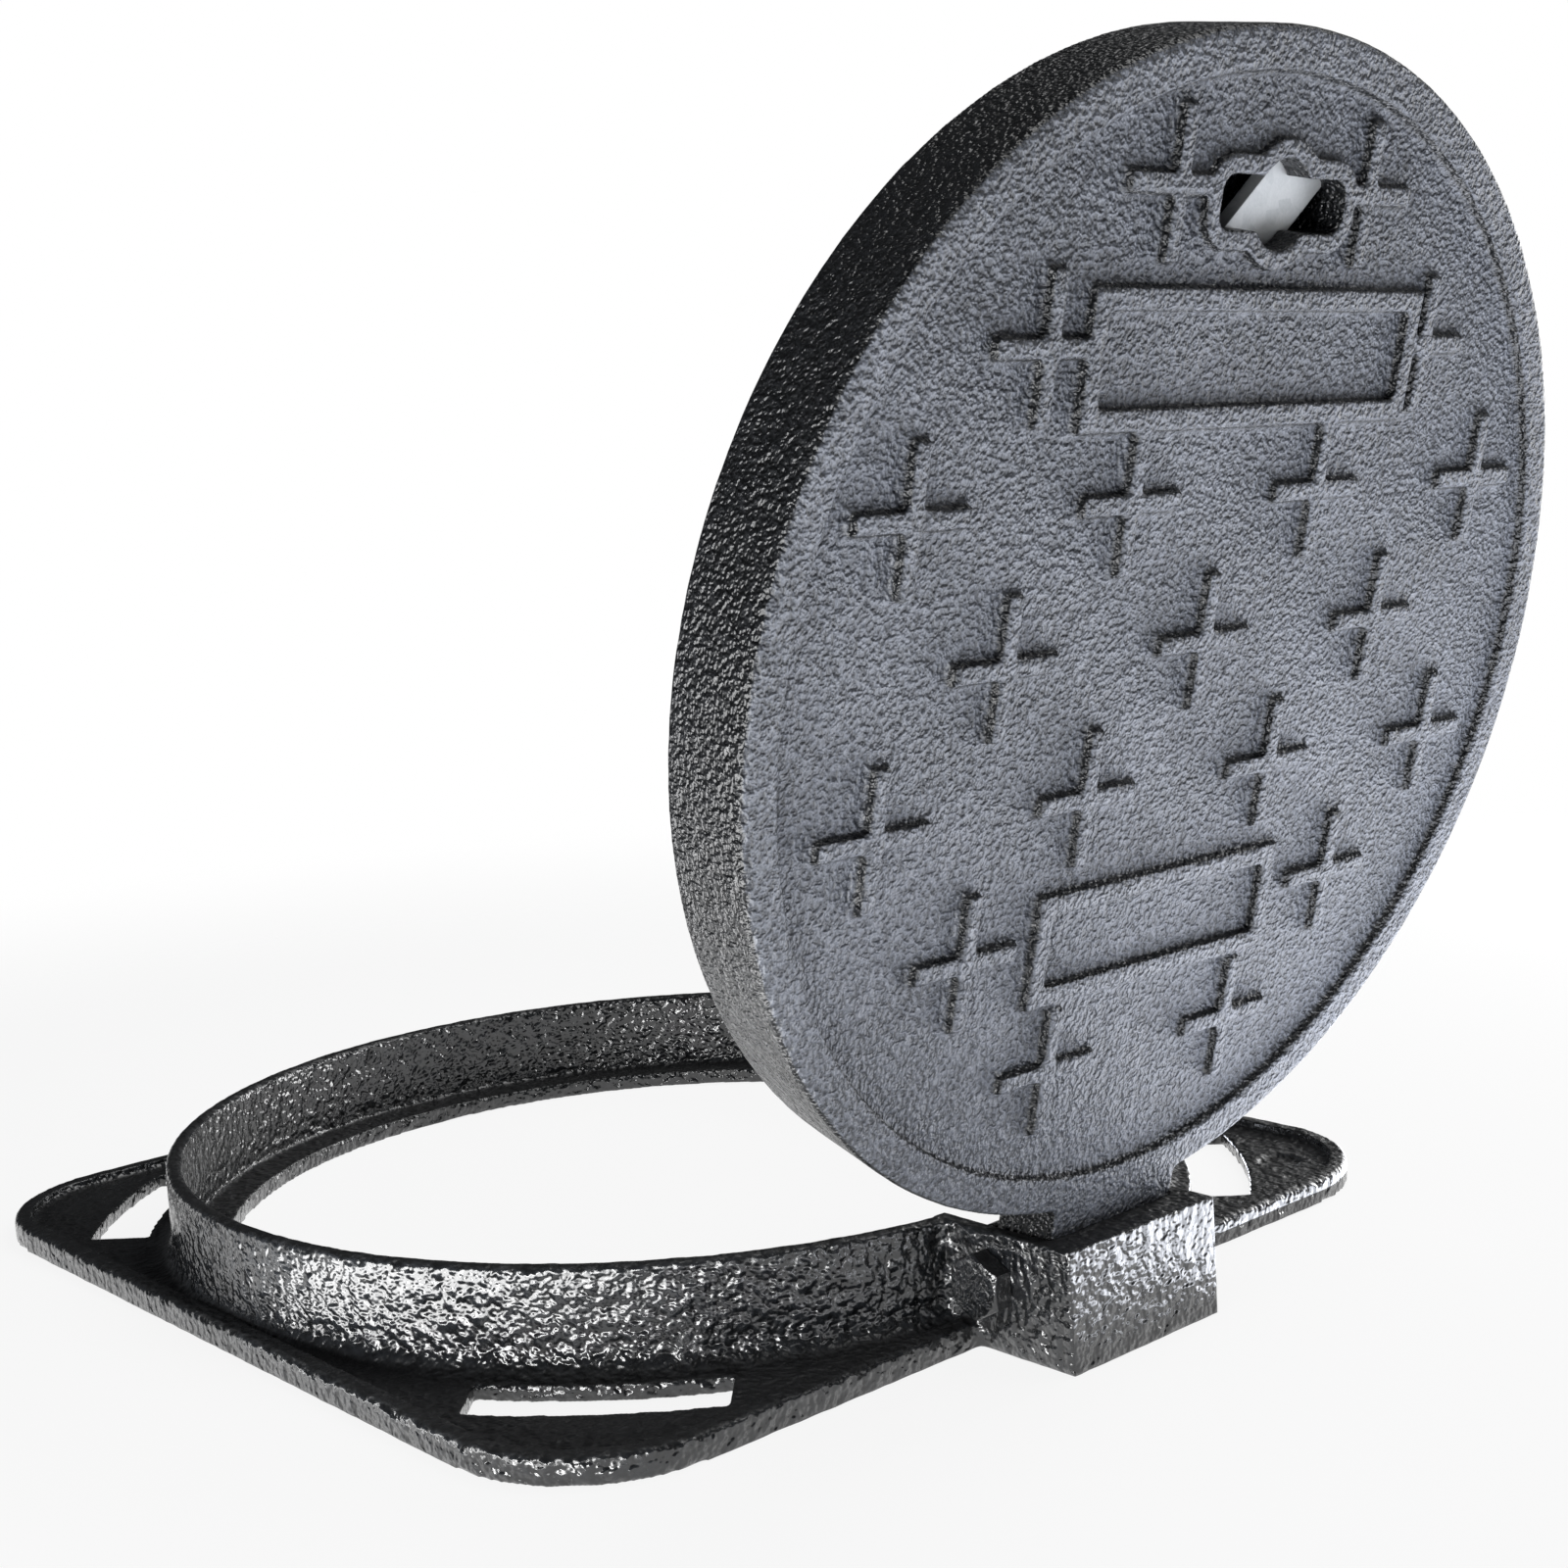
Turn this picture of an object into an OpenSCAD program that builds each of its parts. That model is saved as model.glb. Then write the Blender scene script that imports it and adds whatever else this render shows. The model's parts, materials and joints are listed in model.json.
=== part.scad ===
// Hinged access cover for a septic tank neck: a square cast frame with a short round
// collar, and a round lid that swings up on one bolt and leans on its own hinge box.
// Millimetres, +Z up. The origin is the centre of the clear opening on the underside,
// the hinge is on the +X side, and its bolt runs along Y.

/* [Opening and collar] */
// Clear diameter inside the seat ledge
clear_d = 300; // [260:5:340]
// Width of the ledge that the lid rests on
ledge_w = 13; // [11:0.5:16]
// Thickness of the ledge
ledge_t = 6; // [5:0.5:8]
// Wall of the round collar
collar_t = 5.5; // [4.5:0.5:8]
// Height of the collar above the underside
collar_h = 35; // [33:1:42]
// Rounding of the collar's top edges
collar_edge = 1.5; // [0.5:0.25:2]
// Fillet between the collar and the flange
root_fillet = 6; // [3:0.5:8]

/* [Flange] */
// Flange beyond the collar at the middle of each side
flange_margin = 8.5; // [7.5:0.5:14]
// Corner radius of the flange
flange_corner_r = 46; // [36:1:56]
// Thickness of the flange plate
flange_t = 5; // [4:0.5:8]
// Height of the raised border above the plate
border_h = 3; // [2:0.5:5]
// Width of the raised border
border_w = 6; // [4:0.5:7]
// Bevel of the border's outer edge
border_edge = 1.2; // [0.5:0.1:1.8]

/* [Corner slots] */
// Metal left between the collar and each slot
slot_land = 9.5; // [8:0.5:11]
// Width of each slot, measured towards the corner
slot_w = 19; // [14:1:21]
// Length of each slot across the corner
slot_len = 72; // [50:1:80]
// Diameter of the shallow cast spot in one corner
spot_d = 15; // [10:1:18]
// Depth of that spot
spot_depth = 1.2; // [0.6:0.2:2]
// Distance of the spot from the slot's outer edge
spot_offset = 12; // [11:0.5:14]

/* [Hinge] */
// Distance from the collar's outside to the bolt axis
hinge_reach = 13; // [12.5:0.5:18]
// Depth of the bolt axis below the collar's top
hinge_drop = 15; // [13.5:0.5:16]
// Angle to which the lid opens
open_angle = 104; // [98:1:110]
// Width of the lid's hinge tongue
tongue_w = 51; // [40:1:60]
// Depth of the tongue where it leaves the lid
tongue_h = 20; // [16:1:22]
// Room on each side of the tongue
tongue_gap = 1; // [0.5:0.25:2]
// Side walls of the hinge box
box_wall = 5; // [4:0.5:8]
// Front wall of the hinge box
box_front = 12.5; // [8:0.5:16]
// Height of the sloped pad that stops the open lid
stop_h = 5; // [3:0.5:7]
// Height of the collar's sill below the tongue
sill_z = 8; // [7:0.5:8.5]
// Gap left at the stop and at the seat
seat_gap = 0.1; // [0.05:0.05:0.3]

/* [Hinge bolt] */
// Diameter of the bolt
bolt_d = 10; // [8:1:12]
// Radial clearance of the bolt in its bores
bolt_fit = 0.05; // [0.02:0.01:0.1]
// Width across the flats of head and nut
hex_af = 17; // [15:0.5:19]
// Thickness of the bolt's head
head_h = 6.4; // [5:0.2:8]
// Thickness of the nut
nut_h = 8.4; // [6:0.2:10]
// Bolt end beyond the nut
bolt_end = 3; // [1.5:0.5:6]

/* [Lid] */
// Gap between the lid's rim and the collar
rim_gap = 6; // [5:0.5:8]
// Width of the raised ring round the lid's face
ring_w = 10.5; // [8:0.5:13]
// Depth of the field inside the ring
field_depth = 3; // [2:0.25:4]
// Thickness of the lid's plate
plate_t = 6; // [5:0.5:8]
// Wall of the lid's skirt
skirt_t = 6; // [5:0.5:7.5]
// How much the skirt draws in towards its foot
skirt_draft = 1.5; // [0.5:0.25:2.5]
// Rounding of the lid's rim
rim_edge = 2; // [1:0.25:3]
// Fillet inside the skirt
skirt_fillet = 4; // [2:0.5:6]

/* [Lid ribs] */
// Number of radial ribs under the lid
rib_count = 8; // [4:4:8]
// Thickness of a rib
rib_t = 5; // [4:0.5:7]
// Depth of the ribs below the plate
rib_h = 10; // [6:1:12]
// Middle radius of the ring rib
ring_rib_r = 68; // [55:1:72]

/* [Tread crosses] */
// Overall length of a cross
cross_len = 38; // [30:1:40]
// Width of a cross's bar at its foot
cross_w = 6.6; // [5:0.2:9]
// Draft of raised edges, on each side
relief_draft = 1.1; // [0.5:0.1:1.5]
// Distance between crosses in a row
pitch_along = 75; // [70:1:80]
// Distance between rows
pitch_across = 38; // [36:0.5:40]
// Shift of the middle row away from the hinge
pattern_shift = 4.5; // [0:0.5:6]

/* [Bare plates] */
// Length of the upper raised frame, along the hinge
plate_1_len = 134; // [120:1:140]
// Width of the upper raised frame
plate_1_w = 36; // [30:1:40]
// Sideways place of the upper raised frame
plate_1_u = 4; // [-6:0.5:6]
// Its distance from the lid's centre, away from the hinge
plate_1_v = 77.5; // [74:0.5:80]
// Length of the lower raised frame, along the hinge
plate_2_len = 100; // [80:1:110]
// Width of the lower raised frame
plate_2_w = 33; // [28:1:36]
// Sideways place of the lower raised frame
plate_2_u = -1; // [-6:0.5:6]
// Its distance from the lid's centre, towards the hinge
plate_2_v = 74; // [70:0.5:78]
// Width of a raised frame's border
plate_border = 6.5; // [4:0.5:8]

/* [Key hole] */
// Distance of the key hole from the lid's centre
key_v = 115; // [108:1:117]
// Sideways place of the key hole
key_u = 2.3; // [-4:0.1:4]
// Length of the key slot
key_len = 49; // [40:1:52]
// Width of the key slot
key_w = 13; // [10:0.5:16]
// Corner radius of the key slot
key_corner = 4; // [2:0.5:4.5]
// Diameter of the round middle of the key hole
key_d = 22; // [18:1:26]
// Width of the raised lip round the key hole
key_lip = 5; // [3:0.5:6]
// Inner diameter of the closed pocket under the key hole
pocket_d = 56; // [54:1:58]
// Wall and floor of the pocket
pocket_t = 3; // [2.5:0.5:4]
// Clear depth of the pocket below the plate
pocket_depth = 13; // [10:1:15]

/* [Lifting bar] */
// Width of the flat bar across the key hole
bar_w = 18; // [14:1:20]
// Thickness of the bar
bar_t = 4; // [3:0.5:5]
// Length of the bar
bar_len = 50; // [46:1:52]
// Angle of the bar to the hinge line
bar_angle = 45; // [30:5:60]
// Distance of the bar's middle line from the key hole's centre
bar_offset = 5; // [4:0.5:7]
// Depth to which the bar is let into the plate's underside
bar_sink = 1; // [0.5:0.5:2]

/* [Hidden] */
$fn = 96;
eps = 0.5;
paint = "#26282b";
paint_light = "#3a3d41";
bare_steel = "#b4b6b8";
// Middle of a rounded edge, as a share of its radius in from each side
arc_mid = 1 - cos(45);
// Round end face of a bolt head or nut, as a share of its width across flats
hex_face = 0.95;

clear_r = clear_d / 2;
seat_r = clear_r + ledge_w;
collar_r = seat_r + collar_t;
flange_half = collar_r + flange_margin;
border_z = flange_t + border_h;
slot_in_r = collar_r + slot_land;
slot_out_r = slot_in_r + slot_w;
spot_at = (slot_out_r + spot_offset) / sqrt(2);

hinge_x = collar_r + hinge_reach;
hinge_z = collar_h - hinge_drop;
knuckle_r = hinge_drop;
box_in_half = tongue_w / 2 + tongue_gap;
box_out_half = box_in_half + box_wall;
box_root_x = clear_r - ledge_w;
lean = open_angle - 90;
// The open lid's face stands knuckle_r from the bolt axis, and the front wall's inner
// edge meets it at the collar's height.
stop_x = hinge_x + (knuckle_r + seat_gap + hinge_drop * sin(lean)) / cos(lean);
front_in_x = stop_x - stop_h * tan(lean);
front_x = front_in_x + box_front;
bore_d = bolt_d + 2 * bolt_fit;

lid_r = seat_r - rim_gap;
lid_foot_r = lid_r - skirt_draft;
foot_z = ledge_t + seat_gap;
ring_in_r = lid_r - ring_w;
field_r = ring_in_r - relief_draft;
field_z = collar_h - field_depth;
under_z = field_z - plate_t;
skirt_in_r = lid_foot_r - skirt_t;
pocket_r = pocket_d / 2;
pocket_floor_z = under_z - pocket_depth;
bar_z = under_z + bar_sink - bar_t;

// Outline of a square with round corners
module round_square(half, r) {
    square([2 * half, 2 * (half - r)], center = true);
    square([2 * (half - r), 2 * half], center = true);
    for (sx = [-1, 1], sy = [-1, 1])
        translate([sx * (half - r), sy * (half - r)]) circle(r);
}

// Outline of a rectangle with round corners
module round_rect(len, w, r) {
    square([len, w - 2 * r], center = true);
    square([len - 2 * r, w], center = true);
    for (sx = [-1, 1], sy = [-1, 1])
        translate([sx * (len / 2 - r), sy * (w / 2 - r)]) circle(r, $fn = 32);
}

// Square plate with round corners whose top edge is bevelled
module bevelled_square(half, r, h, bevel) {
    run = 2 * (half - r);
    side = [[-half, 0], [half, 0], [half - bevel, bevel], [bevel - half, bevel]];
    linear_extrude(h - bevel) round_square(half, r);
    translate([0, 0, h - bevel]) {
        for (turn = [0, 90])
            rotate([90, 0, turn])
                linear_extrude(run, center = true) polygon(side);
        for (sx = [-1, 1], sy = [-1, 1])
            translate([sx * (half - r), sy * (half - r), 0])
                cylinder(h = bevel, r1 = r, r2 = r - bevel);
    }
}

// Block with drafted sides, standing on z = 0 and sunk a little below it
module drafted_block(len, w, h, draft) {
    slope = draft / h;
    sink = eps * slope;
    intersection() {
        rotate([90, 0, 0]) linear_extrude(w + 2 * draft, center = true)
            polygon([[-len / 2 - sink, -eps], [len / 2 + sink, -eps],
                     [len / 2 - draft, h], [draft - len / 2, h]]);
        rotate([90, 0, 90]) linear_extrude(len + 2 * draft, center = true)
            polygon([[-w / 2 - sink, -eps], [w / 2 + sink, -eps],
                     [w / 2 - draft, h], [draft - w / 2, h]]);
    }
}

// Collar, its fillet to the flange, the seat ledge and the clear opening, as one ring
module collar_ring() {
    e = collar_edge;
    steps = 4;
    root_top = flange_t + root_fillet;
    root = [for (i = [0:steps])
        let (a = 180 + 90 * i / steps)
        [collar_r + root_fillet + root_fillet * cos(a), root_top + root_fillet * sin(a)]];
    rotate_extrude($fn = 180)
        polygon(concat(
            [[clear_r, 0], [collar_r + root_fillet, 0]],
            [for (i = [steps:-1:0]) root[i]],
            [[collar_r, collar_h - e],
             [collar_r - arc_mid * e, collar_h - arc_mid * e],
             [collar_r - e, collar_h], [seat_r + e, collar_h],
             [seat_r + arc_mid * e, collar_h - arc_mid * e], [seat_r, collar_h - e],
             [seat_r, ledge_t], [clear_r, ledge_t]]));
}

// One slot across each corner, concentric with the collar
module corner_slots() {
    for (turn = [45:90:315])
        rotate(turn)
            translate([0, 0, -eps])
                linear_extrude(border_z + 2 * eps)
                    intersection() {
                        difference() {
                            circle(slot_out_r, $fn = 180);
                            circle(slot_in_r, $fn = 180);
                        }
                        translate([slot_in_r / 2, -slot_len / 2])
                            square([slot_out_r, slot_len]);
                    }
}

module flange() {
    difference() {
        bevelled_square(flange_half, flange_corner_r, border_z, border_edge);
        translate([0, 0, flange_t])
            linear_extrude(border_z)
                round_square(flange_half - border_w, flange_corner_r - border_w);
        translate([0, 0, -eps]) cylinder(h = border_z + 2 * eps, r = collar_r, $fn = 180);
        translate([spot_at, spot_at, flange_t - spot_depth])
            cylinder(h = border_z, d = spot_d, $fn = 48);
    }
}

// Open pocket outside the collar that carries the bolt and stops the lid
module hinge_box() {
    translate([box_root_x, -box_out_half, 0])
        cube([front_x - box_root_x, 2 * box_out_half, collar_h]);
}

// Room for the tongue: the pocket, and a gap in the collar above its sill
module hinge_room() {
    wedge = [[front_in_x - eps, collar_h - stop_h], [front_in_x, collar_h - stop_h],
             [stop_x + eps * tan(lean), collar_h + eps], [front_in_x - eps, collar_h + eps]];
    difference() {
        translate([clear_r, -box_in_half, -eps])
            cube([front_in_x - clear_r, 2 * box_in_half, collar_h + 2 * eps]);
        translate([0, 0, -2 * eps]) cylinder(h = sill_z + 2 * eps, r = collar_r, $fn = 180);
    }
    rotate([90, 0, 0]) linear_extrude(2 * box_in_half, center = true) polygon(wedge);
}

module base_frame() {
    color(paint_light)
        difference() {
            union() {
                flange();
                collar_ring();
                hinge_box();
            }
            translate([0, 0, ledge_t]) cylinder(h = collar_h, r = seat_r, $fn = 180);
            translate([0, 0, -eps]) cylinder(h = collar_h, r = clear_r, $fn = 180);
            hinge_room();
            corner_slots();
            translate([hinge_x, 0, hinge_z])
                rotate([90, 0, 0])
                    cylinder(h = 2 * box_out_half + 2 * eps, d = bore_d, center = true, $fn = 48);
        }
}

// Plate, raised ring and skirt of the lid, turned about its own axis
module lid_shell() {
    e = rim_edge;
    f = skirt_fillet;
    steps = 3;
    rotate_extrude($fn = 180)
        polygon(concat(
            [[0, under_z]],
            [for (i = [0:steps])
                let (a = 90 - 90 * i / steps)
                [skirt_in_r - f + f * cos(a), under_z - f + f * sin(a)]],
            [[skirt_in_r, foot_z], [lid_foot_r - 1, foot_z], [lid_foot_r, foot_z + 1]],
            [for (i = [0:steps])
                let (a = 90 * i / steps)
                [lid_r - e + e * cos(a), collar_h - e + e * sin(a)]],
            [[ring_in_r, collar_h], [field_r, field_z], [0, field_z]]));
}

// Ribs under the plate: radial ones that miss the key pocket, and one ring
module lid_ribs() {
    translate([0, 0, under_z - rib_h]) {
        for (i = [0:rib_count - 1])
            rotate(360 * (i + 0.5) / rib_count)
                translate([0, -rib_t / 2, 0])
                    cube([skirt_in_r + skirt_t / 2, rib_t, rib_h + eps]);
        rotate_extrude($fn = 120)
            translate([ring_rib_r - rib_t / 2, 0]) square([rib_t, rib_h + eps]);
    }
}

// Places its children on the lid's face: u along the hinge, v away from the hinge
module on_face(u, v, z = field_z) {
    translate([-v, u, z]) rotate(90) children();
}

// Outline of the key hole, grown outwards by a margin
module key_outline(margin = 0) {
    round_rect(key_len + 2 * margin, key_w + 2 * margin, key_corner + margin);
    circle(d = key_d + 2 * margin, $fn = 64);
}

module cross() {
    for (turn = [0, 90])
        rotate(turn) drafted_block(cross_len, cross_w, field_depth, relief_draft);
}

// Staggered rows of crosses that fit inside the ring
module tread() {
    row_reach = ceil(field_r / pitch_across);
    for (row = [-row_reach:row_reach], col = [-3:3]) {
        odd = abs(row) % 2;
        u = pitch_along * (col + odd / 2);
        v = pattern_shift + pitch_across * row;
        inside = norm([u, v]) + cross_len / 2 < field_r;
        hidden = abs(u) < eps && abs(row) == 2;
        if (inside && !hidden) on_face(u, v) cross();
    }
}

// Footprints that interrupt the tread
module tread_gaps() {
    for (p = [[plate_1_u, plate_1_v, plate_1_len, plate_1_w],
              [plate_2_u, -plate_2_v, plate_2_len, plate_2_w]])
        on_face(p[0], p[1])
            cube([p[2], p[3], 2 * field_depth + 2 * eps], center = true);
    on_face(key_u, key_v, field_z - 2 * eps)
        linear_extrude(field_depth + 4 * eps) key_outline(key_lip + eps);
}

// Raised rectangular frame round a bare field
module bare_plate(len, w) {
    inner_len = len - 2 * plate_border;
    inner_w = w - 2 * plate_border;
    difference() {
        drafted_block(len, w, field_depth, relief_draft);
        translate([0, 0, field_depth])
            mirror([0, 0, 1])
                translate([0, 0, -eps])
                    linear_extrude(field_depth + eps) square([inner_len, inner_w], center = true);
    }
}

module lifting_bar_shape() {
    rotate(bar_angle)
        translate([-bar_len / 2, -bar_offset - bar_w / 2, 0])
            cube([bar_len, bar_w, bar_t]);
}

// The lid as it lies when shut, centred on the opening
module lid_shut() {
    difference() {
        union() {
            lid_shell();
            lid_ribs();
            difference() {
                tread();
                tread_gaps();
            }
            on_face(plate_1_u, plate_1_v) bare_plate(plate_1_len, plate_1_w);
            on_face(plate_2_u, -plate_2_v) bare_plate(plate_2_len, plate_2_w);
            on_face(key_u, key_v, field_z - eps)
                linear_extrude(field_depth + eps) key_outline(key_lip);
            on_face(key_u, key_v, pocket_floor_z - pocket_t)
                cylinder(h = pocket_depth + pocket_t + eps, r = pocket_r + pocket_t);
            tongue();
        }
        on_face(key_u, key_v, pocket_floor_z) cylinder(h = pocket_depth, r = pocket_r);
        on_face(key_u, key_v, under_z - eps)
            linear_extrude(plate_t + field_depth + 2 * eps) key_outline();
        on_face(key_u, key_v, bar_z) lifting_bar_shape();
        translate([hinge_x, 0, hinge_z])
            rotate([90, 0, 0])
                cylinder(h = tongue_w + 2 * eps, d = bore_d, center = true, $fn = 48);
    }
}

// Tongue from the lid's rim to the round knuckle about the bolt
module tongue() {
    root_x = skirt_in_r + skirt_t / 2;
    rotate([90, 0, 0])
        linear_extrude(tongue_w, center = true) {
            translate([root_x, collar_h - tongue_h]) square([hinge_x - root_x, tongue_h]);
            translate([hinge_x, hinge_z]) circle(knuckle_r);
        }
}

// Swings what is drawn shut to the open position
module swung_open() {
    translate([hinge_x, 0, hinge_z])
        rotate([0, open_angle, 0])
            translate([-hinge_x, 0, -hinge_z]) children();
}

module lid() {
    color(paint) swung_open() lid_shut();
}

module lift_bar() {
    color(bare_steel) swung_open() on_face(key_u, key_v, bar_z) lifting_bar_shape();
}

// Hexagon with its outer corners turned off at 30 degrees
module hex_body(h) {
    corner_r = hex_af / 2 / cos(30);
    face_r = hex_face * hex_af / 2;
    crown = (corner_r - face_r) * tan(30);
    intersection() {
        rotate(30) cylinder(h = h, r = corner_r, $fn = 6);
        union() {
            cylinder(h = h - crown, r = corner_r + eps, $fn = 64);
            translate([0, 0, h - crown])
                cylinder(h = crown, r1 = corner_r, r2 = face_r, $fn = 64);
        }
    }
}

// Bolt along Y with its head on the -Y side of the hinge box
module hinge_bolt() {
    shank = 2 * box_out_half + nut_h + bolt_end;
    color(paint)
        translate([hinge_x, -box_out_half, hinge_z]) {
            rotate([90, 0, 0]) hex_body(head_h);
            rotate([-90, 0, 0]) cylinder(h = shank, d = bolt_d, $fn = 64);
        }
}

module hinge_nut() {
    color(paint)
        translate([hinge_x, box_out_half, hinge_z])
            rotate([-90, 0, 0])
                difference() {
                    hex_body(nut_h);
                    translate([0, 0, -eps]) cylinder(h = nut_h + 2 * eps, d = bore_d, $fn = 64);
                }
}

base_frame();
lid();
hinge_bolt();
hinge_nut();
lift_bar();
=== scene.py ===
import json
import math

import bpy
from mathutils import Matrix, Quaternion, Vector


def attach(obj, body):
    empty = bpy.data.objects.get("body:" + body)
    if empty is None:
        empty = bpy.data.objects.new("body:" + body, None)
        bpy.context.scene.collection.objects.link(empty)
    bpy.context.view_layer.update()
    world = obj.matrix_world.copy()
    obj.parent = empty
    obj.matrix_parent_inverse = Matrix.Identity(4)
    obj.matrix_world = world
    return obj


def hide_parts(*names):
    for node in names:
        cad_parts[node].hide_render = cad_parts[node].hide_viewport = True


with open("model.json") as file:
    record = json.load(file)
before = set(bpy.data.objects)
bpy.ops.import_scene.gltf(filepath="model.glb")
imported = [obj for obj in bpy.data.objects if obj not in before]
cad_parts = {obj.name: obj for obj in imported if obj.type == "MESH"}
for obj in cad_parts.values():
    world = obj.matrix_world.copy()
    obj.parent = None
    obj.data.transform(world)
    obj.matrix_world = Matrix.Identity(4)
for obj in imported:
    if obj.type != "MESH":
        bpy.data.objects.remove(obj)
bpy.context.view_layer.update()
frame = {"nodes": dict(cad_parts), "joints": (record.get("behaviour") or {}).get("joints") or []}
hinge = frame["joints"][0]
print("frame loaded:", sorted(frame["nodes"]))


def linearColour(hexColour):
    # sRGB hex to linear RGBA
    parts = [int(hexColour[i:i + 2], 16) / 255 for i in (1, 3, 5)]
    return [c / 12.92 if c <= 0.04045 else ((c + 0.055) / 1.055) ** 2.4 for c in parts] + [1.0]


def addNode(tree, kind, settings=None, links=None):
    # settings: properties by name, or input values by socket name or number
    # links: input socket name or number -> (node, output name or number)
    node = tree.nodes.new(kind)
    for key, value in (settings or {}).items():
        if isinstance(key, str) and hasattr(node, key):
            setattr(node, key, value)
        else:
            node.inputs[key].default_value = value
    for key, (source, output) in (links or {}).items():
        tree.links.new(source.outputs[output], node.inputs[key])
    return node


def newMaterial(name):
    material = bpy.data.materials.new(name)
    material.use_nodes = True
    material.node_tree.nodes.clear()
    return material


# Black bitumen paint over sand-cast iron. The sand leaves a fine grain with soft lumps and
# shallow dents. The paint dries to a half gloss, so every lump carries its own small glint.
# The side that the mask picks is duller, and its colour is painted light: greyer on the lid's face, standing
# in for the light the face catches, and a little darker on the level tops of the frame and the fasteners, as
# painted shade.
openAngle = math.radians(-hinge["range_deg"][0])
lidFace = (round(math.sin(openAngle), 3), 0, round(math.cos(openAngle), 3))
lidPaint = {
    "thin": "#1c1d1f",        # where the paint is thin and grey
    "thick": "#0a0b0c",       # where it has pooled between the grains
    "detail": 1.0,            # octaves in the grain: less for rounder grains
    "grain": 1.5,             # mm, sand grain, drawn coarser than real so that it shows
    "grainHeight": 2.1,       # mm
    "lump": 5.0,              # mm, width of the soft lumps
    "lumpHeight": 1.0,        # mm
    "wave": 34.0,             # mm, hand-sized unevenness
    "waveHeight": 0.8,        # mm
    "rough": (0.38, 0.22),    # from the dull hollows to the glossy lumps
    "specular": 0.38,         # sand and dust take some of the film's mirror
    "coat": 0.1,              # share of the surface with a closed glossy film
    "edge": 0.5,              # mm, radius that the paint and the mould leave on an edge
    # painted light: the face gets a greyer tone than the black sides, standing in for the light it catches
    "paintedLightSide": lidFace,
    "paintedLightThin": "#585b62",
    "paintedLightThick": "#222428",
    "paintedLightSideRough": (0.52, 0.38),
}
# The frame was poured in coarser sand and wears a closed film, dull only where it lies level
framePaint = {
    "thin": "#212326",
    "thick": "#090a0b",
    "detail": 1.0,
    "grain": 2.8,
    "grainHeight": 1.6,
    "lump": 6.0,
    "lumpHeight": 1.4,
    "wave": 30.0,
    "waveHeight": 0.6,
    "rough": (0.3, 0.18),
    "specular": 0.5,
    "coat": 1.0,
    "edge": 0.8,
    # painted shade: the level tops get a slightly darker tone than the rest
    "paintedLightSide": (0, 0, 1),
    "paintedLightThin": "#1a1b1d",
    "paintedLightThick": "#090a0b",
    "paintedLightSideRough": (0.7, 0.5),
}
# The bolt and nut are smooth steel under the same paint, brushed on thick
fastenerPaint = {
    "thin": "#212326",
    "thick": "#0e0f10",
    "detail": 1.0,
    "grain": 1.2,
    "grainHeight": 0.3,
    "lump": 3.0,
    "lumpHeight": 0.8,
    "wave": 15.0,
    "waveHeight": 0.3,
    "rough": (0.26, 0.12),
    "specular": 0.5,
    "coat": 1.0,
    "edge": 0.6,
    # painted shade: the tops get a slightly darker tone than the rest
    "paintedLightSide": (0, 0, 1),
    "paintedLightThin": "#1a1b1d",
    "paintedLightThick": "#0e0f10",
    "paintedLightSideRough": (0.7, 0.5),
}
# What every coat of this paint has in common. The spans say which part of a noise counts.
paintMaking = {
    "lump": {"Detail": 1.5, "Distortion": 0.4},
    "wave": {"Detail": 3.0},
    "edgeSamples": 6,
    "fleck": {"From Min": 0.4, "From Max": 0.6},      # of the sand grain, from pooled to thin paint
    "fleckShare": 0.7,
    "patch": {"From Min": 0.35, "From Max": 0.65},    # of the hand-sized unevenness, the same
    "patchShare": 0.25,
    "leastThin": 0.05,                                # share of thin paint in the deepest spots
    "gloss": {"From Min": 0.3, "From Max": 0.7},      # of the soft lumps, from dull to glossy
    "paintedLightMask": {"From Min": 0.55, "From Max": 0.9},      # of the turn to the side the mask picks, from the plain tone to painted light and shade
    "filmRough": 0.2,
    "ior": 1.5,
}


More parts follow.
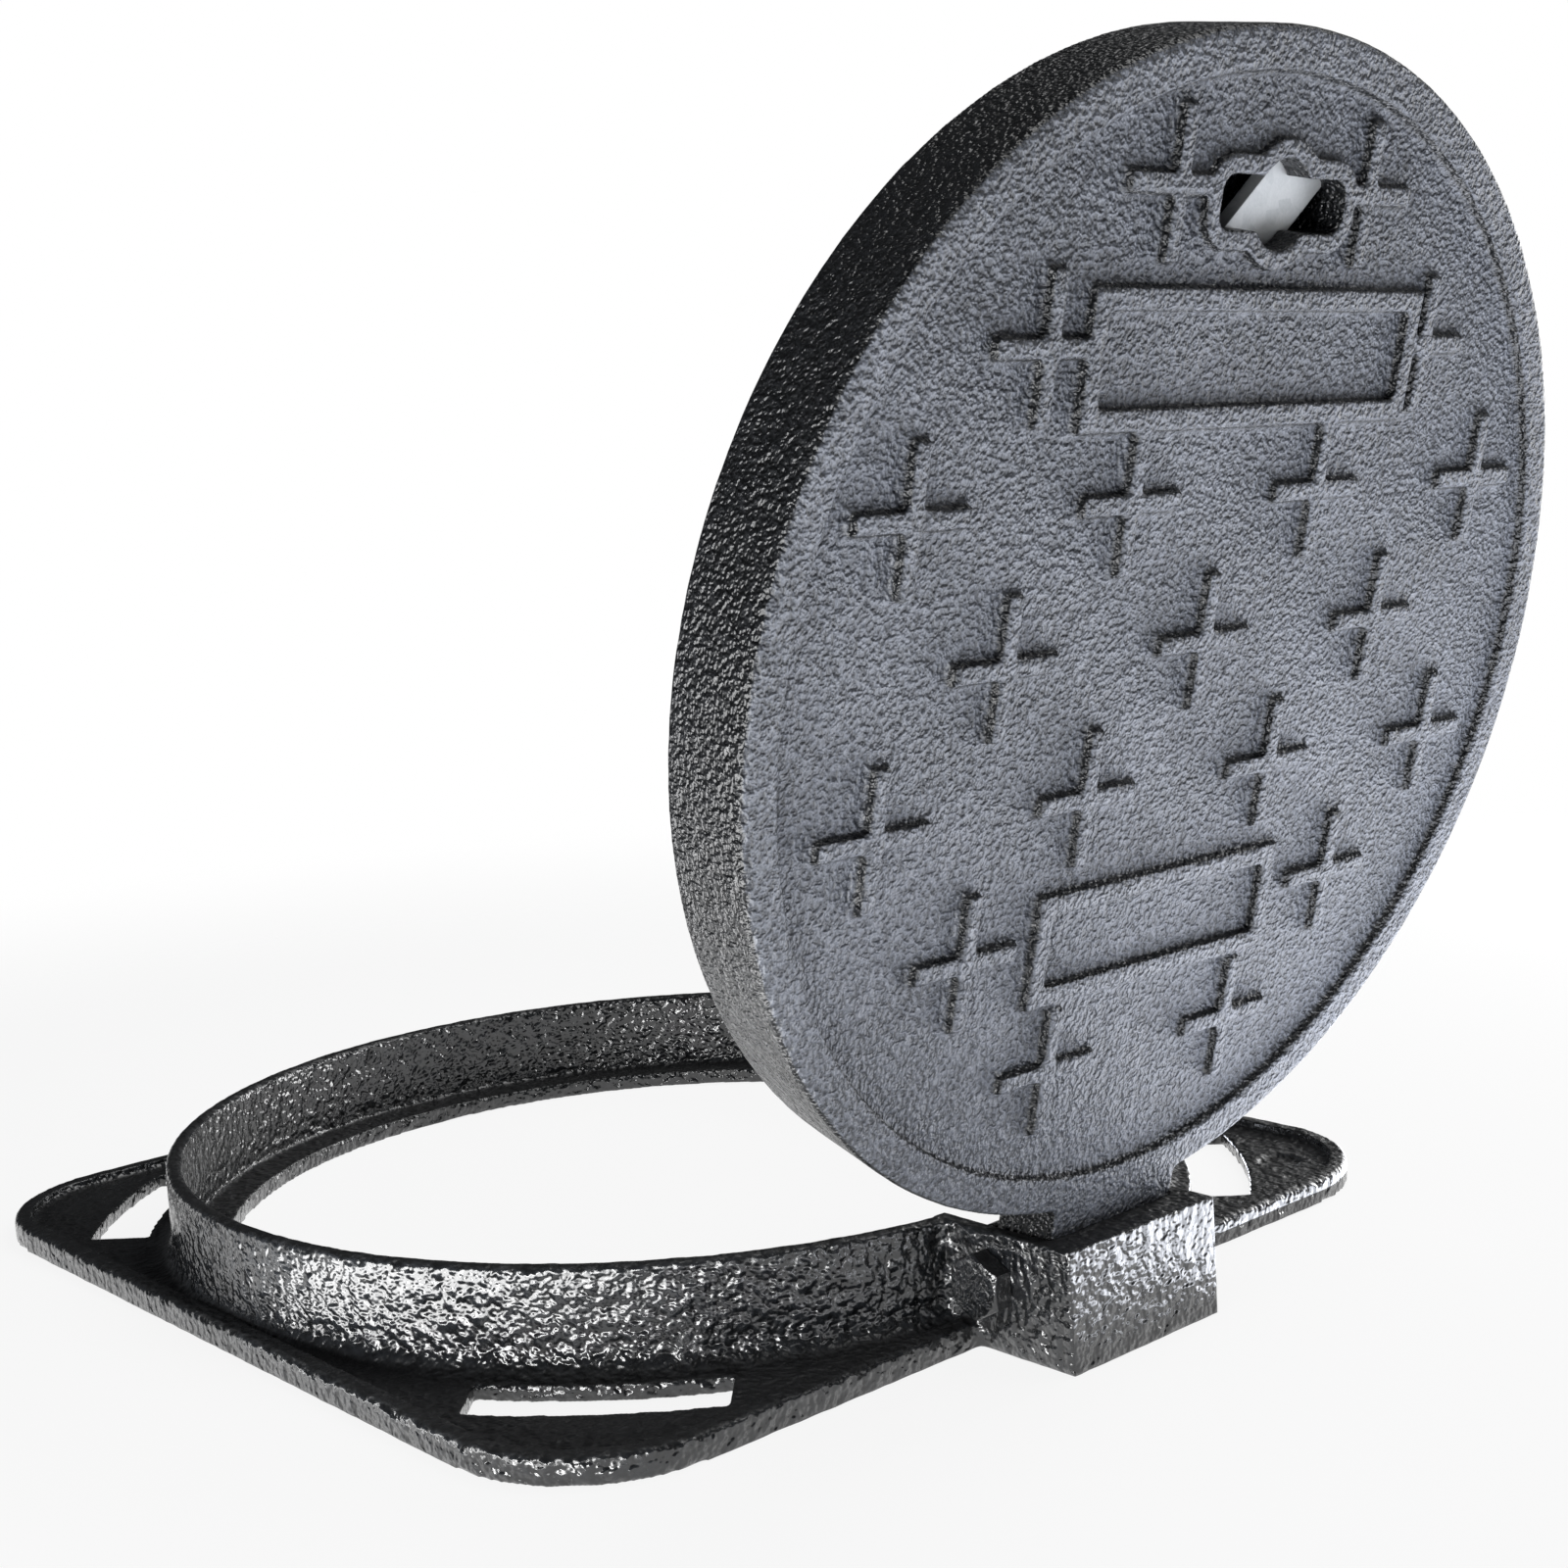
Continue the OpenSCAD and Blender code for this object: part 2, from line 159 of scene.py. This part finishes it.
def bitumenPaint(name, look):
    material = newMaterial(name)
    tree = material.node_tree
    place = addNode(tree, "ShaderNodeTexCoord")
    grain = addNode(tree, "ShaderNodeTexNoise",
                    {"Scale": 1000 / look["grain"], "Detail": look["detail"]},
                    {"Vector": (place, "Object")})
    lump = addNode(tree, "ShaderNodeTexNoise",
                   {"Scale": 1000 / look["lump"], **paintMaking["lump"]},
                   {"Vector": (place, "Object")})
    wave = addNode(tree, "ShaderNodeTexNoise",
                   {"Scale": 1000 / look["wave"], **paintMaking["wave"]},
                   {"Vector": (place, "Object")})
    # rounded edges first, then each size of unevenness on top
    relief = addNode(tree, "ShaderNodeBevel",
                     {"samples": paintMaking["edgeSamples"], "Radius": look["edge"] / 1000})
    for noise, height in ((wave, "waveHeight"), (lump, "lumpHeight"), (grain, "grainHeight")):
        relief = addNode(tree, "ShaderNodeBump", {"Distance": look[height] / 1000, "Strength": 1.0},
                         {"Height": (noise, 0), "Normal": (relief, 0)})
    # share of thin paint
    patch = addNode(tree, "ShaderNodeMapRange", paintMaking["patch"], {"Value": (wave, 0)})
    fleck = addNode(tree, "ShaderNodeMapRange", paintMaking["fleck"], {"Value": (grain, 0)})
    shade = addNode(tree, "ShaderNodeMath",
                    {"operation": "MULTIPLY_ADD", 1: paintMaking["fleckShare"], 2: paintMaking["leastThin"]},
                    {0: (fleck, 0)})
    blend = addNode(tree, "ShaderNodeMath",
                    {"operation": "MULTIPLY_ADD", "use_clamp": True, 1: paintMaking["patchShare"]},
                    {0: (patch, 0), 2: (shade, 0)})
    # plain tone, and painted light on the side the mask picks: greyer on the lid's face, darker on level
    # tops
    facing = addNode(tree, "ShaderNodeVectorMath", {"operation": "DOT_PRODUCT", 1: look["paintedLightSide"]},
                     {0: (place, "Normal")})
    paintedLightMask = addNode(tree, "ShaderNodeMapRange", paintMaking["paintedLightMask"], {"Value": (facing, "Value")})
    plainTone = addNode(tree, "ShaderNodeMix",
                    {"data_type": "RGBA", 6: linearColour(look["thick"]), 7: linearColour(look["thin"])},
                    {0: (blend, 0)})
    paintedLightTone = addNode(tree, "ShaderNodeMix",
                  {"data_type": "RGBA", 6: linearColour(look["paintedLightThick"]),
                   7: linearColour(look["paintedLightThin"])},
                  {0: (blend, 0)})
    colour = addNode(tree, "ShaderNodeMix", {"data_type": "RGBA"},
                     {0: (paintedLightMask, 0), 6: (plainTone, 2), 7: (paintedLightTone, 2)})
    gloss = addNode(tree, "ShaderNodeMapRange",
                    {**paintMaking["gloss"], "To Min": look["rough"][0], "To Max": look["rough"][1]},
                    {"Value": (lump, 0)})
    dull = addNode(tree, "ShaderNodeMapRange",
                   {**paintMaking["gloss"], "To Min": look["paintedLightSideRough"][0], "To Max": look["paintedLightSideRough"][1]},
                   {"Value": (lump, 0)})
    rough = addNode(tree, "ShaderNodeMix", {"data_type": "FLOAT"},
                    {0: (paintedLightMask, 0), 2: (gloss, 0), 3: (dull, 0)})
    film = addNode(tree, "ShaderNodeMapRange", {"To Min": look["coat"], "To Max": 0.0},
                   {"Value": (paintedLightMask, 0)})
    shader = addNode(tree, "ShaderNodeBsdfPrincipled",
                     {"IOR": paintMaking["ior"], "Metallic": 0.0, "Specular IOR Level": look["specular"],
                      "Coat Roughness": paintMaking["filmRough"], "Coat IOR": paintMaking["ior"]},
                     {"Base Color": (colour, 2), "Roughness": (rough, 0), "Normal": (relief, 0),
                      "Coat Weight": (film, 0), "Coat Normal": (relief, 0)})
    addNode(tree, "ShaderNodeOutputMaterial", None, {"Surface": (shader, 0)})
    return material


# Hot-dip galvanised flat steel, gone dull: pale zinc with soft crystal patches.
zinc = {
    "light": "#c2c4c4",
    "dark": "#9c9fa1",
    "crystal": 4.0,           # mm
    "grit": 0.9,              # mm, drawn coarser than real so that it shows
    "gritDetail": 2.0,
    "gritHeight": 0.05,       # mm
    "gritShare": 0.5,         # against the crystals, in the colour
    "edge": 0.5,              # mm
    "edgeSamples": 6,
    "metallic": 0.35,         # the zinc's dull skin hides most of the metal
    "rough": 0.5,
}


def galvanisedSteel(name, look):
    material = newMaterial(name)
    tree = material.node_tree
    place = addNode(tree, "ShaderNodeTexCoord")
    crystal = addNode(tree, "ShaderNodeTexVoronoi", {"Scale": 1000 / look["crystal"]},
                      {"Vector": (place, "Object")})
    grit = addNode(tree, "ShaderNodeTexNoise",
                   {"Scale": 1000 / look["grit"], "Detail": look["gritDetail"]},
                   {"Vector": (place, "Object")})
    share = addNode(tree, "ShaderNodeMix", {"data_type": "FLOAT", 0: look["gritShare"]},
                    {2: (crystal, "Color"), 3: (grit, 0)})
    colour = addNode(tree, "ShaderNodeMix",
                     {"data_type": "RGBA", 6: linearColour(look["dark"]), 7: linearColour(look["light"])},
                     {0: (share, 0)})
    edge = addNode(tree, "ShaderNodeBevel",
                   {"samples": look["edgeSamples"], "Radius": look["edge"] / 1000})
    bump = addNode(tree, "ShaderNodeBump", {"Distance": look["gritHeight"] / 1000, "Strength": 1.0},
                   {"Height": (grit, 0), "Normal": (edge, 0)})
    shader = addNode(tree, "ShaderNodeBsdfPrincipled",
                     {"Metallic": look["metallic"], "Roughness": look["rough"]},
                     {"Base Color": (colour, 2), "Normal": (bump, 0)})
    addNode(tree, "ShaderNodeOutputMaterial", None, {"Surface": (shader, 0)})
    return material


# The two castings get a skin of their own, made from the CAD solid: the mould leaves soft
# edges and a slightly uneven face. Both are worked on with their flat faces level.
castings = {
    "castFrame": {
        "node": "base_frame",
        "body": "frame",
        "voxel": 1.0,         # mm
        "soften": 2,          # rounds of smoothing
        "uneven": 0.35,       # mm, the deepest dent
        "unevenWidth": 7.0,   # mm
        "keep": 0.45,         # share of the faces that stays
        "paint": bitumenPaint("bitumenPaintOnCastFrame", framePaint),
    },
    "castLid": {
        "node": "lid",
        "body": "lid",
        "voxel": 0.8,
        "soften": 1,
        "uneven": 0.2,
        "unevenWidth": 9.0,
        "keep": 0.22,
        "paint": bitumenPaint("bitumenPaintOnCastLid", lidPaint),
    },
}
skinMaking = {
    "join": 0.01,             # mm, corners closer than this are one
    "smoothing": 0.5,
    "dentDetail": 1,
    "surface": 1.0,           # the dents go inward only, so the skin stays inside the solid
    "levelWeight": 80,        # large faces rule the shading, so steps in the relief stay crisp
}


def shutTurn(body):
    # matrix that lays a body's mesh flat: the lid turns back about its hinge
    if body != hinge["child"]:
        return Matrix.Identity(4)
    pivot = Matrix.Translation(Vector(hinge["pos_m"]))
    angle = math.radians(hinge["range_deg"][0])
    return pivot @ Matrix.Rotation(angle, 4, Vector(hinge["axis"])) @ pivot.inverted()


def shapeSkin(skin, how):
    weld = skin.modifiers.new("joinFaces", "WELD")
    weld.merge_threshold = skinMaking["join"] / 1000
    remesh = skin.modifiers.new("evenMesh", "REMESH")
    remesh.mode = "VOXEL"
    remesh.voxel_size = how["voxel"] / 1000
    remesh.use_smooth_shade = True
    soften = skin.modifiers.new("softEdges", "SMOOTH")
    soften.factor = skinMaking["smoothing"]
    soften.iterations = how["soften"]
    clouds = bpy.data.textures.new(skin.name + "Uneven", "CLOUDS")
    clouds.noise_scale = how["unevenWidth"] / 1000
    clouds.noise_depth = skinMaking["dentDetail"]
    uneven = skin.modifiers.new("unevenFace", "DISPLACE")
    uneven.texture = clouds
    uneven.texture_coords = "LOCAL"
    uneven.strength = how["uneven"] / 1000
    uneven.mid_level = skinMaking["surface"]
    thin = skin.modifiers.new("fewerFaces", "DECIMATE")
    thin.ratio = how["keep"]
    crisp = skin.modifiers.new("crispSteps", "WEIGHTED_NORMAL")
    crisp.mode = "FACE_AREA"
    crisp.weight = skinMaking["levelWeight"]


def makeCasting(name, how):
    skin = bpy.data.objects.new(name, frame["nodes"][how["node"]].data.copy())
    bpy.context.scene.collection.objects.link(skin)
    turn = shutTurn(how["body"])
    skin.data.transform(turn)
    skin.data.materials.clear()
    shapeSkin(skin, how)
    ready = bpy.context.evaluated_depsgraph_get()
    made = bpy.data.meshes.new_from_object(skin.evaluated_get(ready))
    skin.modifiers.clear()
    skin.data = made
    made.transform(turn.inverted())
    made.materials.clear()
    made.materials.append(how["paint"])
    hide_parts(how["node"])
    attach(skin, how["body"])
    print(name, "faces:", len(made.polygons))


for name, how in castings.items():
    makeCasting(name, how)

# The small pieces keep their CAD shape and get a finish
smallPieces = {
    "hinge_bolt": {"paint": bitumenPaint("bitumenPaintOnBolt", fastenerPaint), "slot": "painted_fastener"},
    "hinge_nut": {"paint": bitumenPaint("bitumenPaintOnNut", fastenerPaint), "slot": "painted_fastener"},
    "lift_bar": {"paint": galvanisedSteel("dullGalvanisedSteel", zinc), "slot": "galvanised_steel"},
}
for name, how in smallPieces.items():
    piece = frame["nodes"][name]
    piece.data.materials.clear()
    piece.data.materials.append(how["paint"])
print("pieces dressed")

# Floor: a matt white board that fades into the white surroundings before its rim
floorLook = {
    "colour": "#f6f6f6",
    "at": (0.03, 0, -0.0002),   # just under the flange, so that the two don't share a plane
    "radius": 2.0,
    "sides": 96,
    "fade": {"From Min": 0.45, "From Max": 0.95},    # m from the middle
    "glow": 0.88,               # share of plain white where it is seen, the rest takes the shadow
}


def makeFloor(look):
    bpy.ops.mesh.primitive_circle_add(vertices=look["sides"], radius=look["radius"], fill_type="NGON",
                                      location=look["at"])
    floor = bpy.context.object
    floor.name = "floor"
    material = newMaterial("mattWhiteBoard")
    tree = material.node_tree
    place = addNode(tree, "ShaderNodeTexCoord")
    far = addNode(tree, "ShaderNodeVectorMath", {"operation": "LENGTH"}, {0: (place, "Object")})
    fade = addNode(tree, "ShaderNodeMapRange", {"interpolation_type": "SMOOTHSTEP", **look["fade"]},
                   {"Value": (far, "Value")})
    rays = addNode(tree, "ShaderNodeLightPath")
    seen = addNode(tree, "ShaderNodeMath", {"operation": "MAXIMUM"},
                   {0: (rays, "Is Camera Ray"), 1: (rays, "Is Glossy Ray")})
    seenAll = addNode(tree, "ShaderNodeMath", {"operation": "MAXIMUM"},
                      {0: (seen, 0), 1: (rays, "Is Transmission Ray")})
    share = addNode(tree, "ShaderNodeMath", {"operation": "MULTIPLY", 1: look["glow"]}, {0: (seenAll, 0)})
    board = addNode(tree, "ShaderNodeBsdfDiffuse", {"Color": linearColour(look["colour"])})
    white = addNode(tree, "ShaderNodeEmission", {"Strength": 1.0})
    lit = addNode(tree, "ShaderNodeMixShader", None, {0: (share, 0), 1: (board, 0), 2: (white, 0)})
    clear = addNode(tree, "ShaderNodeBsdfTransparent")
    surface = addNode(tree, "ShaderNodeMixShader", None, {0: (fade, 0), 1: (lit, 0), 2: (clear, 0)})
    addNode(tree, "ShaderNodeOutputMaterial", None, {"Surface": (surface, 0)})
    floor.data.materials.append(material)


makeFloor(floorLook)

# Surroundings: white where they are seen, dim where they only light the object. Reflections
# show white up to the height where the picture ends, a dim ceiling above it, and a dark side
# behind the cover, which keeps the lid's edge black.
roomLook = {
    "white": "#ffffff",
    "ambient": "#c9ccd2",
    "level": 0.1,
    "ceiling": {"From Min": 0.12, "From Max": 0.3},    # of a ray's upward share, from white to dim
    "darkSide": {"From Min": -0.4, "From Max": 0.0},   # of its share along X, from dark to white
}


def makeRoom(look):
    world = bpy.data.worlds.new("studio")
    bpy.context.scene.world = world
    world.use_nodes = True
    tree = world.node_tree
    tree.nodes.clear()
    rays = addNode(tree, "ShaderNodeLightPath")
    place = addNode(tree, "ShaderNodeTexCoord")
    toward = addNode(tree, "ShaderNodeSeparateXYZ", None, {"Vector": (place, "Generated")})
    low = addNode(tree, "ShaderNodeMapRange",
                  {"interpolation_type": "SMOOTHSTEP", **look["ceiling"], "To Min": 1.0, "To Max": 0.0},
                  {"Value": (toward, "Z")})
    front = addNode(tree, "ShaderNodeMapRange", look["darkSide"], {"Value": (toward, "X")})
    bright = addNode(tree, "ShaderNodeMath", {"operation": "MULTIPLY"}, {0: (low, 0), 1: (front, 0)})
    mirrored = addNode(tree, "ShaderNodeMath", {"operation": "MULTIPLY"},
                       {0: (rays, "Is Glossy Ray"), 1: (bright, 0)})
    seen = addNode(tree, "ShaderNodeMath", {"operation": "MAXIMUM"},
                   {0: (rays, "Is Camera Ray"), 1: (mirrored, 0)})
    seenAll = addNode(tree, "ShaderNodeMath", {"operation": "MAXIMUM"},
                      {0: (seen, 0), 1: (rays, "Is Transmission Ray")})
    dim = addNode(tree, "ShaderNodeBackground",
                  {"Color": linearColour(look["ambient"]), "Strength": look["level"]})
    white = addNode(tree, "ShaderNodeBackground", {"Color": linearColour(look["white"]), "Strength": 1.0})
    mix = addNode(tree, "ShaderNodeMixShader", None, {0: (seenAll, 0), 1: (dim, 0), 2: (white, 0)})
    addNode(tree, "ShaderNodeOutputWorld", None, {"Surface": (mix, 0)})


makeRoom(roomLook)

# Lamps: the light comes from low down, as from a lit table. Tables lie on the floor and
# shine up, boards stand, and the box hangs above. Places and sizes in metres, spin in degrees.
lamps = {
    # a strip below the line of sight, which the lid's face mirrors
    "frontTable": {"at": (0.53, 0.47, 0.004), "aim": (0.53, 0.47, 1.0), "spin": -36, "size": (0.5, 1.05),
                   "watts": 9.6, "colour": "#e6eaf4"},
    # lifts the sides that look to the camera
    "cameraTable": {"at": (0.64, -0.5, 0.004), "aim": (0.64, -0.5, 1.0), "spin": 0, "size": (0.6, 0.5),
                    "watts": 5.0, "colour": "#f4f6fb"},
    # the bright stretch on the collar, and its fade up the lid's edge
    "glintTable": {"at": (0.17, -0.44, 0.004), "aim": (0.17, -0.44, 1.0), "spin": 0, "size": (0.34, 0.5),
                   "watts": 5.0, "colour": "#ffffff"},
    # small glints on the flange's edge, the bolt's head and the grain
    "glintBoard": {"at": (0.34, -0.75, 0.1), "aim": (0.1, -0.1, 0.0), "spin": 0, "size": (0.5, 0.1),
                   "watts": 4.5, "colour": "#ffffff"},
    # the inside of the collar and the far corner
    "rimBoard": {"at": (0.1, 0.95, 0.25), "aim": (0.2, 0.1, 0.15), "spin": 0, "size": (0.5, 0.4),
                 "watts": 5.0, "colour": "#ffffff"},
    # a soft shadow on the floor
    "topBox": {"at": (0.45, 0.8, 1.5), "aim": (0.1, 0.1, 0), "spin": 0, "size": (1.2, 1.2),
               "watts": 12.0, "colour": "#ffffff"},
}


def makeLamps(setup):
    for name, lamp in setup.items():
        data = bpy.data.lights.new(name, "AREA")
        data.shape = "RECTANGLE"
        data.size, data.size_y = lamp["size"]
        data.energy = lamp["watts"]
        data.color = linearColour(lamp["colour"])[:3]
        thing = bpy.data.objects.new(name, data)
        bpy.context.scene.collection.objects.link(thing)
        thing.location = lamp["at"]
        toward = Vector(lamp["aim"]) - Vector(lamp["at"])
        spin = Quaternion(toward, math.radians(lamp["spin"]))
        thing.rotation_euler = (spin @ toward.to_track_quat("-Z", "Y")).to_euler()
        thing.visible_camera = False


makeLamps(lamps)

# Camera: fitted to the circles and edges of the object in the photograph
cameraLook = {
    "at": (0.61301, -0.47343, 0.24477),
    "turn": (82.458, 3.3893, 48.3829),    # degrees
    "lens": 52.65,                        # mm
    "sensor": 36.0,                       # mm
    "nearest": 0.01,                      # m
}


def makeCamera(look):
    data = bpy.data.cameras.new("camera")
    data.sensor_width = look["sensor"]
    data.lens = look["lens"]
    data.clip_start = look["nearest"]
    camera = bpy.data.objects.new("camera", data)
    bpy.context.scene.collection.objects.link(camera)
    camera.location = look["at"]
    camera.rotation_euler = [math.radians(a) for a in look["turn"]]
    bpy.context.scene.camera = camera


makeCamera(cameraLook)
bpy.context.scene.view_settings.view_transform = "Standard"
print("floor, lamps and camera placed")
